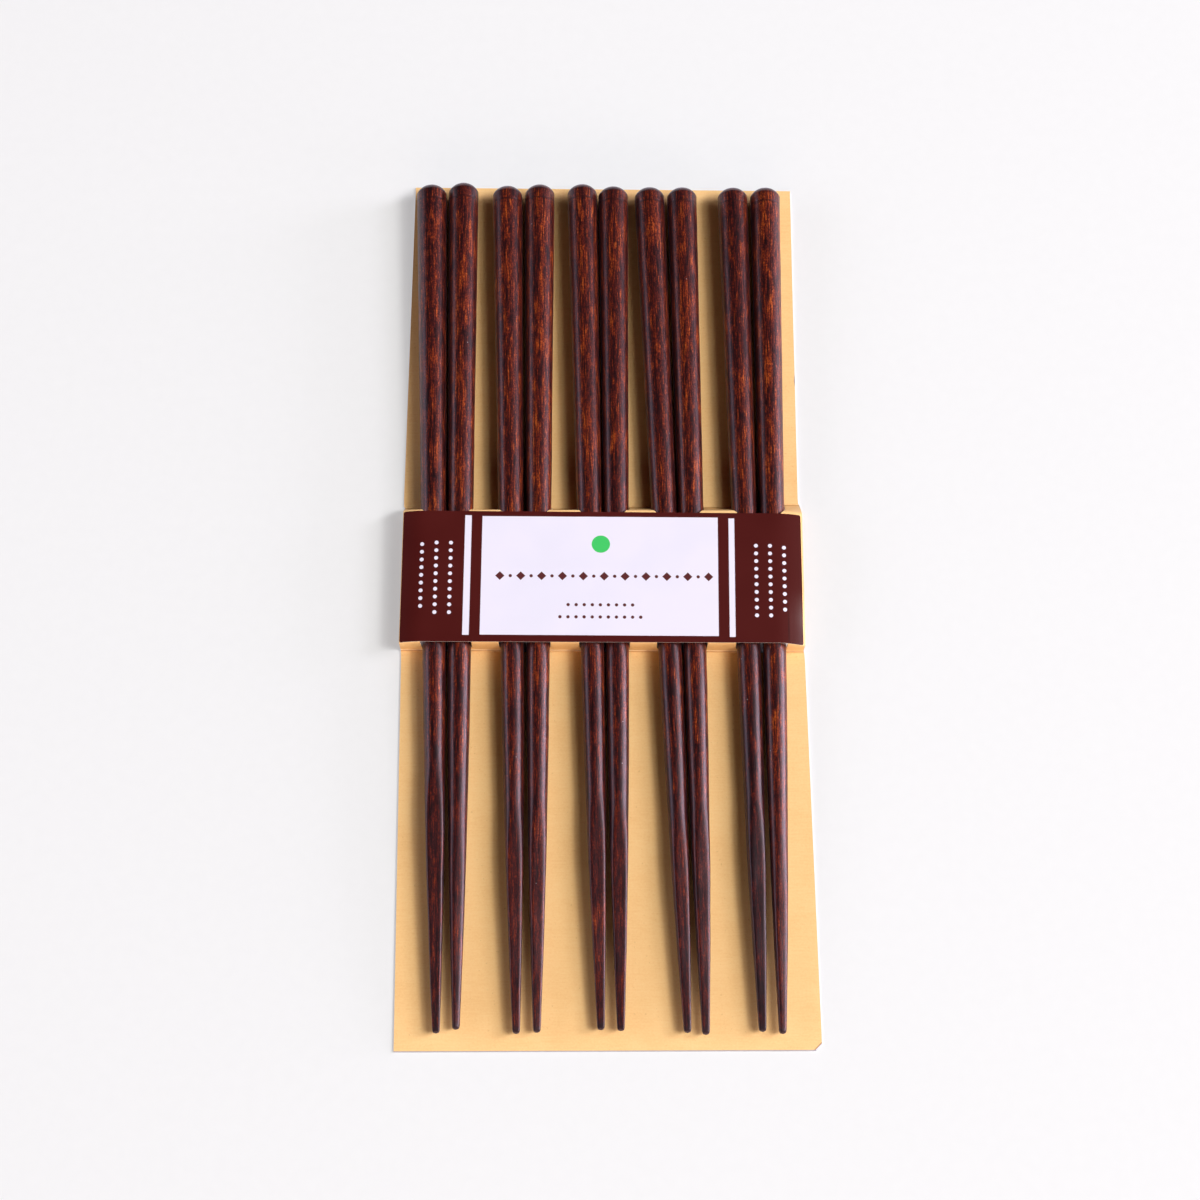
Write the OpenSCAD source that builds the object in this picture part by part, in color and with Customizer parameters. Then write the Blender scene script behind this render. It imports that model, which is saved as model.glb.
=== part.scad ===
// Five pairs of wooden chopsticks held on a folded card under a glued paper label.
// X runs across the card, Y towards the heads of the sticks, Z up from the table.
// The origin is under the middle of the whole set, on the table.

/* [Chopsticks] */
// Length of a chopstick from the top of its dome to its tip
stick_len = 225; // [200:1:250]
// Diameter just below the domed head
head_d = 7.85; // [7:0.05:8.2]
// Height of the domed head
dome_h = 2.4; // [1.5:0.1:3.4]
// Distance from the head to the knee, where the taper quickens
knee_at = 134; // [110:1:150]
// Diameter at the knee
knee_d = 5.75; // [5:0.05:6.3]
// Diameter where the rounded tip starts
tip_d = 1.8; // [1.5:0.05:2.8]
// Height of the rounded tip
tip_round = 0.55; // [0.4:0.05:0.7]
// Distance from the head to the fine turned ring
ring_at = 5.2; // [4.5:0.1:12]
// Width of the turned ring
ring_w = 0.5; // [0.3:0.05:0.8]
// Depth of the turned ring
ring_depth = 0.06; // [0.03:0.01:0.12]

/* [Card] */
// Thickness of the card
card_t = 0.45; // [0.35:0.05:0.7]
// Width of the card
card_w = 100.5; // [99:0.1:130]
// Length of card beyond the heads
over_heads = 1.95; // [1.5:0.05:15]
// Length of card beyond the tips
over_tips = 3.95; // [2.5:0.05:25]
// Distance from the side of the card to the middle of an outer pair
pair_margin = 11.25; // [10.9:0.05:12.5]
// Length of side lost at the worn corner
corner_loss = 1.5; // [0.5:0.1:4]

/* [Bridge] */
// Length of the top of the bridge, between its folds
bridge_len = 34.75; // [20:0.25:60]
// Place of the middle of the bridge, towards the heads
bridge_y = 0.63; // [-15:0.01:15]
// Width of the card drawn in at the ends of the bridge
bridge_draw = 0.2; // [0:0.1:4]
// Run of the sloping wall on the side of the heads
head_wall_run = 3.5; // [2:0.1:8]
// Run of the upright wall on the side of the tips
tip_wall_run = 0.1; // [0.05:0.05:6]
// Radius of the folds, at the middle of the sheet
fold_r = 0.6; // [0.5:0.05:1]
// Room between the sticks and the bridge above them
press_gap = 0.1; // [0.05:0.01:0.4]
// Room beside a pair in its openings
side_gap = 0.45; // [0.3:0.05:0.9]
// Radius of the shoulders of the openings on the side of the heads
shoulder_r = 3; // [1.5:0.1:3.2]
// Radius of the lower corners of the openings on the side of the tips
heel_r = 2.4; // [1:0.1:2.6]
// Width of the cut round a tongue
kerf = 0.1; // [0.05:0.01:0.2]

/* [Label] */
// Thickness of the label
label_t = 0.13; // [0.08:0.01:0.3]
// Width of bridge left bare at the left end of the label
label_left = 0.1; // [0:0.05:8]
// Width of bridge left bare at the right end of the label
label_right = 0.5; // [0:0.05:8]
// Length of bridge left bare above the label
label_inset = 0.5; // [0.3:0.05:4]
// Reach of the label past the fold on the side of the tips
label_overhang = 0.2; // [0:0.05:0.3]
// Radius of the corners of the label
label_corner_r = 1; // [0.5:0.1:3]

/* [Hidden] */
$fn = 48;

// The arrangement of the pairs as they lie, from left to right.
// Sideways place of each pair, from even spacing
pair_nudge = [0.25, 0.30, 0.55, 0.13, 0.60];
// Turn of each pair, in degrees, with the heads to the left
pair_turn = [1.15, 0.81, 0.83, 1.35, 0.23];
// Gap between the two sticks of a pair at the heads and at the knees
head_gap = [0.60, 0.75, 0.40, 0.80, 0.80];
knee_gap = [0.45, 0.62, 0.38, 0.31, 0.55];
// Distance that each stick has slid towards the heads
stick_slide = [0.3, 0.8, -0.1, 0.3, 0.4, -0.3, -0.5, -0.6, -0.7, -0.7];
// Length by which each hand-finished stick differs from the rest
stick_extra = [0.5, 0.1, 0.2, 0.3, -0.2, -0.7, -0.4, -0.1, -0.9, -0.4];

// The panels of the card lie slightly askew to the bridge.
// Turn of each panel, and of its cut end, in degrees
head_panel_turn = -0.345;
head_end_turn = -0.625;
tip_panel_turn = 0.66;
tip_end_turn = 0.2;
// Sideways step of each panel at its fold
head_panel_shift = -0.19;
tip_panel_shift = 0.32;
// Turn of the bridge and the label in degrees, and their sideways place
bridge_turn = -0.25;
bridge_shift = 0.2;
// Clearance under the sticks, small enough to count as resting
lift = 0.05;

// Shape of a stick
head_r = head_d / 2;
taper = (head_r - knee_d / 2) / (knee_at - dome_h);
tail_len = stick_len - tip_round - knee_at;
quickening = (knee_d / 2 - taper * tail_len - tip_d / 2) / pow(tail_len, 2);
tail_steps = 9;
tilt = atan(taper);
function stick_r(s) = s <= knee_at
    ? head_r - taper * (s - dome_h)
    : knee_d / 2 - taper * (s - knee_at) - quickening * pow(s - knee_at, 2);

// Places of the pairs
pairs = len(pair_turn);
pair_pitch = (card_w - 2 * pair_margin) / (pairs - 1);
function pair_mid_x(p) = pair_margin - card_w / 2 + p * pair_pitch + pair_nudge[p];
function pair_x(p, y) = pair_mid_x(p) - y * tan(pair_turn[p]);
function head_spread(p) = head_d + head_gap[p];
function knee_spread(p) = knee_d + knee_gap[p];
function splay(p) = (head_spread(p) - knee_spread(p)) / (knee_at - dome_h);
function spread(p, s) = head_spread(p) - splay(p) * (s - dome_h);
function half_width(p, y) = spread(p, stick_len / 2 - y) / 2 + stick_r(stick_len / 2 - y);
function stick_rest(s) = card_t + lift + stick_r(s) * cos(tilt);

// Middle line of the bridge's sheet, seen from the side
head_fold_y = bridge_y + bridge_len / 2;
tip_fold_y = bridge_y - bridge_len / 2;
head_crease_y = head_fold_y + head_wall_run;
tip_crease_y = tip_fold_y - tip_wall_run;
head_r_here = stick_r(stick_len / 2 - head_fold_y);
mid_r_here = stick_r(stick_len / 2 - bridge_y);
tip_r_here = stick_r(stick_len / 2 - tip_fold_y);
crown = max(0, 2 * mid_r_here - head_r_here - tip_r_here);
fold_base = card_t + lift + press_gap + crown + card_t / 2;
head_fold = [head_fold_y, fold_base + 2 * head_r_here];
tip_fold = [tip_fold_y, fold_base + 2 * tip_r_here];
head_crease = [head_crease_y, card_t / 2];
tip_crease = [tip_crease_y, card_t / 2];
top_slope = atan2(head_fold.y - tip_fold.y, bridge_len);
// Flat stretch of sheet past each crease, which joins the panels
stub = 1.2;
bridge_w = card_w - bridge_draw;
fold_steps = 6;

// Outlines of the panels, with the worn corner cut off
function side_x(side, shift, turn, run) = side * card_w / 2 + shift - run * tan(turn);
head_near_y = head_crease_y + stub / 2;
tip_near_y = tip_crease_y - stub / 2;
head_far = stick_len / 2 + over_heads;
tip_far = -stick_len / 2 - over_tips;
function head_corner(side, far) =
    let (x = side_x(side, head_panel_shift, head_panel_turn, far ? head_far - head_near_y : 0))
    [x, far ? head_far + x * tan(head_end_turn) : head_near_y];
function tip_corner(side, far) =
    let (x = side_x(side, tip_panel_shift, tip_panel_turn, far ? tip_far - tip_near_y : 0))
    [x, far ? tip_far + x * tan(tip_end_turn) : tip_near_y];
head_panel_outline = [head_corner(-1, false), head_corner(1, false),
                      head_corner(1, true), head_corner(-1, true)];
tip_panel_outline = [tip_corner(1, false), tip_corner(-1, false), tip_corner(-1, true),
                     tip_corner(1, true) - [corner_loss, 0],
                     tip_corner(1, true) + [0, corner_loss]];

// Middle of the whole set
all_corners = concat(head_panel_outline, tip_panel_outline);
card_x = [for (p = all_corners) p.x];
card_y = [for (p = all_corners) p.y];
set_mid = [min(card_x) + max(card_x), min(card_y) + max(card_y)] / 2;

// Offset of a bent line by a distance to its left, with round bends
function unit(v) = v / norm(v);
function left_of(v) = [-v.y, v.x];
function turned(v, a) = [v.x * cos(a) - v.y * sin(a), v.x * sin(a) + v.y * cos(a)];
function bend(a, b, c, r, shift, steps) =
    let (u = unit(b - a), w = unit(c - b),
         turn = atan2(u.x * w.y - u.y * w.x, u * w),
         side = sign(turn),
         start = b - u * r * tan(abs(turn) / 2),
         middle = start + side * r * left_of(u))
    [for (k = [0 : steps])
        middle - side * (r - side * shift) * turned(left_of(u), turn * k / steps)];
function bent_line(points, r, shift, steps) =
    let (last = len(points) - 1)
    concat([points[0] + shift * left_of(unit(points[1] - points[0]))],
           [for (i = [1 : last - 1])
               each bend(points[i - 1], points[i], points[i + 1], r, shift, steps)],
           [points[last] + shift * left_of(unit(points[last] - points[last - 1]))]);
function reversed(list) = [for (i = [len(list) - 1 : -1 : 0]) list[i]];

// Turns a child with the bridge about the middle of the bridge
module with_bridge() {
    translate([0, bridge_y, 0]) rotate([0, 0, bridge_turn]) translate([0, -bridge_y, 0]) children();
}

// Moves a child from the frame of the sticks to the frame of the set
module in_set() {
    translate([-set_mid.x, -set_mid.y, 0]) children();
}

// Folded sheet of the bridge, before its openings are cut
module bridge_sheet() {
    line = [head_crease + [stub, 0], head_crease, head_fold, tip_fold, tip_crease,
            tip_crease - [stub, 0]];
    half = card_t / 2;
    outline = concat(bent_line(line, fold_r, half, fold_steps),
                     reversed(bent_line(line, fold_r, -half, fold_steps)));
    translate([bridge_shift - bridge_w / 2, 0, 0])
        rotate([90, 0, 90]) linear_extrude(bridge_w) polygon(outline);
}

// Cuts through a wall along Y, from far_y to near_y, with an outline across X and Z
module cut_through(outline, near_y, far_y) {
    translate([0, near_y, 0]) rotate([90, 0, 0]) linear_extrude(near_y - far_y) polygon(outline);
}

// Room between a cut and the bend that it stops short of
hair = 0.01;

// Arch over a pair in the wall on the side of the heads, a little narrower at its top
arch_draft = 0.3;
head_bend_run = fold_r * tan(atan2(head_fold.y - head_crease.y, head_wall_run) / 2);
head_cut_near = head_crease_y + head_bend_run + 2 * hair;
head_cut_far = head_fold_y - 2 * fold_r;
head_cut_top = head_fold.y - card_t / 2 / cos(top_slope) - 2 * fold_r * tan(top_slope) - hair;
function arch_foot(p) = half_width(p, head_fold_y) + side_gap;
function arch_corner(p) = arch_foot(p) - arch_draft;
function arch(p, grow, top) =
    let (foot = arch_foot(p) + grow, corner = arch_corner(p) + grow,
         feet = [[foot, -1], [foot, card_t]], crown_right = [corner, top],
         crown_left = [-corner, top])
    concat(feet,
           bend(feet[1], crown_right, crown_left, shoulder_r, 0, fold_steps),
           bend(crown_right, crown_left, [-foot, card_t], shoulder_r, 0, fold_steps),
           [[-foot, card_t], [-foot, -1]]);
module arch_cut(p) {
    translate([pair_x(p, head_crease_y), 0, 0])
        cut_through(arch(p, 0, head_cut_top), head_cut_near, head_cut_far);
}

// Tongue left flat under a pair, cut free from its arch
tongue_len = norm(head_fold - head_crease);
module tongue(p) {
    root = [head_cut_near + stub / 4, head_cut_near - tongue_len];
    foot = arch_foot(p) - kerf;
    corner = arch_corner(p) - kerf;
    outline = concat([[-foot, root[0]]],
                     bend([-foot, root[0]], [-corner, root[1]], [corner, root[1]],
                          shoulder_r, 0, fold_steps),
                     bend([-corner, root[1]], [corner, root[1]], [foot, root[0]],
                          shoulder_r, 0, fold_steps),
                     [[foot, root[0]]]);
    translate([pair_x(p, head_crease_y), 0, 0]) linear_extrude(card_t) polygon(outline);
}

// Slot round a pair in the wall on the side of the tips, a little narrower at its foot
slot_draft = 0.15;
tip_bend_run = fold_r * tan(atan2(tip_fold.y - tip_crease.y, tip_wall_run) / 2);
tip_cut_near = tip_fold_y + 2 * fold_r;
tip_cut_far = tip_crease_y - tip_bend_run - 2 * hair;
tip_cut_top = tip_fold.y - card_t / 2 / cos(top_slope) - hair;
function slot_corner(p) = half_width(p, tip_fold_y) + side_gap;
function slot_foot(p) = slot_corner(p) - slot_draft;
function slot(p) =
    let (foot = slot_foot(p), sill = foot - heel_r, right = [foot, card_t],
         left = [-foot, card_t], top_right = [slot_corner(p), tip_cut_top],
         top_left = [-slot_corner(p), tip_cut_top])
    concat([[-sill, -1], [sill, -1]],
           bend([0, card_t], right, top_right, heel_r, 0, fold_steps),
           [top_right, top_left],
           bend(top_left, left, [0, card_t], heel_r, 0, fold_steps));
module slot_cut(p) {
    translate([pair_x(p, tip_fold_y), 0, 0])
        cut_through(slot(p), tip_cut_near, tip_cut_far);
}

module backing_card() {
    color("#F2CB8E") in_set() {
        linear_extrude(card_t) polygon(head_panel_outline);
        linear_extrude(card_t) polygon(tip_panel_outline);
        with_bridge() {
            difference() {
                bridge_sheet();
                for (p = [0 : pairs - 1]) {
                    arch_cut(p);
                    slot_cut(p);
                }
            }
            for (p = [0 : pairs - 1]) tongue(p);
        }
    }
}

// Rectangle with round corners, from two opposite corners
module rounded_field(low, high, r) {
    corners = [low, [high.x, low.y], high, [low.x, high.y]];
    polygon([for (i = [0 : 3])
        each bend(corners[(i + 3) % 4], corners[i], corners[(i + 1) % 4], r, 0, fold_steps)]);
}

module label() {
    left = bridge_shift - bridge_w / 2 + label_left;
    right = bridge_shift + bridge_w / 2 - label_right;
    top_len = norm(head_fold - tip_fold);
    color("#4A1C1C") in_set() with_bridge()
        translate([0, tip_fold.x, tip_fold.y]) rotate([top_slope, 0, 0])
            translate([0, 0, card_t / 2]) linear_extrude(label_t)
                rounded_field([left, -label_overhang], [right, top_len - label_inset],
                              label_corner_r);
}

// Radius of a ball cap that rises h over a disc of radius w
function cap_r(w, h) = (w * w + h * h) / (2 * h);

// A stick with its head up, and the middle of a stick of plain length at the origin
module upright_stick(extra) {
    half = stick_len / 2;
    stretch = 1 + extra / tail_len;
    dome_r = cap_r(head_r, dome_h);
    point_r = cap_r(tip_d / 2, tip_round);
    ring = [[-ring_w / 2, 0], [0, ring_depth], [ring_w / 2, 0]];
    tail = [for (k = [0 : tail_steps]) tail_len * k / tail_steps];
    point = [for (k = [1 : fold_steps]) asin(tip_d / 2 / point_r) * (1 - k / fold_steps)];
    rotate_extrude($fn = 64)
        polygon(concat([[0, half - dome_h / 2], [head_r, half - dome_h]],
                       [for (g = ring) [stick_r(ring_at + g.x) - g.y, half - ring_at - g.x]],
                       [for (t = tail) [stick_r(knee_at + t), half - knee_at - t * stretch]],
                       [for (a = point)
                           [point_r * sin(a), point_r * (1 - cos(a)) - half - extra]]));
    translate([0, 0, half - dome_h]) rotate_extrude($fn = 64) intersection() {
        translate([0, dome_h - dome_r]) circle(r = dome_r, $fn = 96);
        square([head_r, dome_h]);
    }
}

module chopstick(i) {
    p = floor(i / 2);
    side = i % 2 == 0 ? -1 : 1;
    middle = stick_len / 2;
    lean = asin(splay(p) / 2);
    color("#54241A") in_set()
        translate([pair_mid_x(p) + side * spread(p, middle) / 2, stick_slide[i],
                   stick_rest(knee_at) + (knee_at - middle) * sin(tilt)])
            rotate([0, 0, pair_turn[p] - side * lean]) rotate([tilt - 90, 0, 0])
                upright_stick(stick_extra[i]);
}

function stick_name(i) = str("chopstick_", i < 9 ? "0" : "", i + 1);

backing_card();
label();
for (i = [0 : 2 * pairs - 1]) chopstick(i);
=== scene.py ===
"""Looks of a carded set of wooden chopsticks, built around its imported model.

Sizes are in millimetres up to the point where a mesh is made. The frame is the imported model's:
X across the card, Y towards the heads of the sticks, Z up from the table.
"""

import math

import bmesh
import bpy
import numpy as np
from mathutils import Matrix, Vector, noise
from mathutils.geometry import delaunay_2d_cdt


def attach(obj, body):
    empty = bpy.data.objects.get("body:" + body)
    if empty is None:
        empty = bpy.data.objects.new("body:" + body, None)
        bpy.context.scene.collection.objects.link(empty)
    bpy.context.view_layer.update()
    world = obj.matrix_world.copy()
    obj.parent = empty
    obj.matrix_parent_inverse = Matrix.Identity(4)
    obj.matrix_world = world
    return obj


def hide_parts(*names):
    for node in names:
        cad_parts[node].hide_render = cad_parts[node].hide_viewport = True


MM = 0.001

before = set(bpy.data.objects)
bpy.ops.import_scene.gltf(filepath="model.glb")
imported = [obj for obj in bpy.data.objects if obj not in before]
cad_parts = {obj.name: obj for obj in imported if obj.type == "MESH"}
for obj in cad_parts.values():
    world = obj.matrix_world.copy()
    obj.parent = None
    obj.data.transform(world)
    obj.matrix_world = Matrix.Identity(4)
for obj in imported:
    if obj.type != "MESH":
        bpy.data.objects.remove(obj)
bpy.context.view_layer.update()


# Sizes of the sticks

HEAD_R = 3.925
DOME_H = 2.4
SHOULDER = 0.35
KNEE_AT = 134.0
KNEE_R = 2.875
TIP_R = 0.9
TIP_ROUND = 0.95
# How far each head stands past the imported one, whose dome is flatter
HEAD_PAST = 0.15
RING_AT = 5.2
RING_HALF_W = 0.4
RING_DEPTH = 0.03
# Lengths of the head and of the tip on which the mesh has close rows
HEAD_ROWS = 9.0
TIP_ROWS = 6.0
STICKS = [f"chopstick_{n:02d}" for n in range(1, 11)]
# Distance from the head at which each tail turns from round to square, how square it gets, as
# the power of its outline, and how far its upper flat leans to the right, in degrees
SQUARE_OVER = 24.0
SQUARE_FROM = [160, 172, 169, 168, 166, 169, 171, 168, 166, 176]
SQUARE_POWER = [7.0, 3.2, 5.5, 5.0, 6.0, 6.5, 5.0, 5.0, 5.5, 3.2]
FLAT_LEAN = [0, 9, 2, 5, 1, 0, 3, 5, 3, 9]
# How warm the stain is on the body and on the tail of each stick, from 0 to 1
STAIN = [0.47, 0.50, 0.50, 0.58, 0.50, 0.46, 0.47, 0.52, 0.46, 0.54]
TAIL_STAIN = [0.34, 0.38, 0.38, 0.42, 0.38, 0.32, 0.34, 0.36, 0.16, 0.46]

# Sizes of the card, at the middle of its sheet

CARD_T = 0.45
FOLD_R = 0.6
# How far the path of the sheet runs on past its creases, longer than a panel
PATH_REACH = 120
HEAD_CREASE_Y = 22.32
HEAD_FOLD_Y = 18.82
HEAD_FOLD_Z = 7.205
TIP_FOLD_Y = -15.93
TIP_FOLD_Z = 6.65
TIP_CREASE_Y = -15.8
BRIDGE_X = (-50.6, 49.7)
BRIDGE_TURN = math.radians(-0.25)
BRIDGE_PIVOT = (-0.64, 1.44)
HEAD_PANEL = [(-51.06, 22.92), (-50.5, 115.79), (49.98, 114.69), (49.42, 22.92)]
TIP_PANEL = [(49.93, -16.63), (51.06, -113.96), (49.56, -115.46), (-49.42, -115.79),
             (-50.57, -16.63)]
# How far past its crease a panel's edge steps out to the panel's own width
STEP_PAST = 0.6
# Arches and slots around the pairs: room beside a pair, how much they narrow, how far they run
# past the creases and folds, and the radii of their corners
SIDE_GAP = 0.35
ARCH_DRAFT = 0.3
SLOT_DRAFT = 0.15
ROOT_PAST = 0.05
SILL_PAST = 0.1
ARCH_PAST_FOLD = 0.65
SLOT_PAST_FOLD = 1.6
SHOULDER_R = 3.0
HEEL_R = 2.4
# The cut that frees a tongue from its arch, and how far from the root it has its full width
KERF = 0.1
KERF_FULL = 0.4
# Bead of crushed board along each crease beside a panel
BEAD_H = 0.17
BEAD_W = 0.32
# Droop of the bridge's free ends: where it starts across the card, over how far it grows, with
# what power, and how deep it gets at the bridge's full height
DROOP_LEFT = (-45.4, -5.2, 1.8, 1.0)
DROOP_RIGHT = (42.0, 8.0, 2.0, 0.75)
# How far the foot of the wall on the side of the heads moves out, from where across the card
# and over how far, to the right or, below zero, to the left
FOOT_MOVES = [(0.75, 38.0, 8.0), (-0.6, 2.0, -8.0), (0.3, -40.0, -4.0), (-0.35, -15.0, -6.0)]
NICK_Y = 58.3
# Spacing of the mesh's rows along the sheet, and its columns: from, to and spacing
PANEL_ROWS, TOP_ROWS, WALL_ROWS, BEND_ROWS = 2.6, 1.8, 0.6, 0.13
PANEL_COLUMNS = (-48.7, 48.7, 2.6)
BRIDGE_COLUMNS = (-49.9, 49.0, 1.2)
# Least distances in a sheet's mesh, from one border point to the next and to an inner point
BORDER_STEP = 0.06
BORDER_CLEAR = 0.1

# Sizes of the label

LABEL_T = 0.13
LABEL_X = (-50.5, 49.3)
LABEL_INSET = (0.25, 0.65)
LABEL_OVERHANG = 0.2
LABEL_CORNER_R = 0.5
LABEL_CREASE_X = 45.7
GLUE = 0.01

# The photograph's viewpoint

CAMERA_AT = (-1.04, -211.84, 557.12)
CAMERA_TILT = 20.6
PHOTO_W = 1200
FOCAL_PX = 2368
SENSOR = 36.0


def linear(code):
    """Linear colour of an sRGB hex code such as 'A0B1C2'."""
    parts = [int(code[i:i + 2], 16) / 255 for i in (0, 2, 4)]
    return (*[c / 12.92 if c <= 0.04045 else ((c + 0.055) / 1.055) ** 2.4 for c in parts], 1.0)


def add(tree, kind, inputs=(), out=0, **settings):
    """Adds a node with its settings, fills or links its sockets and returns one of its outputs.
    Stops are the places and sRGB hex codes of a colour ramp, from the lowest up."""
    node = tree.nodes.new(kind)
    stops = settings.pop("stops", [])
    for name, value in settings.items():
        setattr(node, name, value)
    for number, (place, code) in enumerate(stops):
        band = node.color_ramp.elements
        stop = band[number] if number < 2 else band.new(place)
        stop.position, stop.color = place, linear(code)
    pairs = inputs.items() if isinstance(inputs, dict) else enumerate(inputs)
    for socket, value in pairs:
        if isinstance(value, bpy.types.NodeSocket):
            tree.links.new(value, node.inputs[socket])
        elif value is not None:
            node.inputs[socket].default_value = value
    return node.outputs[out] if len(node.outputs) else node


def new_material(name, constants):
    """A material with one Principled shader, its constants set on the shader's own sockets."""
    material = bpy.data.materials.new(name)
    material.use_nodes = True
    tree = material.node_tree
    skin = next(n for n in tree.nodes if n.type == "BSDF_PRINCIPLED")
    for socket, value in constants.items():
        skin.inputs[socket].default_value = value
    return material, tree, skin


def apart(tree, value, place):
    """How far a value lies from a place."""
    off = add(tree, "ShaderNodeMath", [value, place], operation="SUBTRACT")
    return add(tree, "ShaderNodeMath", [off], operation="ABSOLUTE")


def stretched(tree, place, across, along):
    """Place scaled so that one unit is a feature of that size across and along, in millimetres."""
    scale = (1 / across, 1 / across, 1 / along)
    return add(tree, "ShaderNodeVectorMath", [place, scale], operation="MULTIPLY")


def bent_path():
    """Stations along the middle of the sheet, from the head crease to the tip crease: run along
    the flat blank, Y, Z and the angle of the sheet's upper face from straight up."""
    corners = [(HEAD_CREASE_Y + PATH_REACH, CARD_T / 2), (HEAD_CREASE_Y, CARD_T / 2),
               (HEAD_FOLD_Y, HEAD_FOLD_Z), (TIP_FOLD_Y, TIP_FOLD_Z),
               (TIP_CREASE_Y, CARD_T / 2), (TIP_CREASE_Y - PATH_REACH, CARD_T / 2)]
    corners = [Vector(c) for c in corners]
    rows = []
    run = 0.0
    marks = []
    last = corners[0]
    for before, here, after in zip(corners, corners[1:], corners[2:]):
        first, second = (here - before).normalized(), (after - here).normalized()
        a0, a1 = math.atan2(first.y, -first.x), math.atan2(second.y, -second.x)
        setback = FOLD_R * math.tan(abs(a1 - a0) / 2)
        start, end = here - first * setback, here + second * setback
        rows.append((run, last.x, last.y, a0))
        run += (start - last).length
        rows.append((run, start.x, start.y, a0))
        steps = 10
        for k in range(1, steps + 1):
            angle = a0 + (a1 - a0) * k / steps
            mid = a0 + (a1 - a0) * (k - 0.5) / steps
            chord = 2 * FOLD_R * math.sin(abs(a1 - a0) / steps / 2)
            start = start + Vector((-math.cos(mid), math.sin(mid))) * chord
            run += chord
            rows.append((run, start.x, start.y, angle))
        marks.append((rows[-1 - steps][0], rows[-1][0]))
        last = end
    rows.append((run + (corners[-1] - last).length, corners[-1].x, corners[-1].y, a1))
    table = np.array(rows)
    shift = sum(marks[0]) / 2
    table[:, 0] -= shift
    marks = [(a - shift, b - shift) for a, b in marks]
    return table, marks


PATH, (HEAD_CREASE, HEAD_FOLD, TIP_FOLD, TIP_CREASE) = bent_path()
# Painted shade and painted highlight along the creases on the blank: place along it, half width,
# strength and colour
CREASE_SHADE_AND_HIGHLIGHT = [(sum(HEAD_CREASE) / 2 + 0.1, 0.2, 0.7, "B4702F"),
                (sum(TIP_CREASE) / 2 - 0.3, 0.2, 0.8, "FFE9BE"),
                (sum(TIP_CREASE) / 2 + 0.05, 0.17, 0.8, "B9703A"),
                (sum(TIP_CREASE) / 2 + 0.55, 0.16, 0.35, "D09050")]


# Materials


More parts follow.
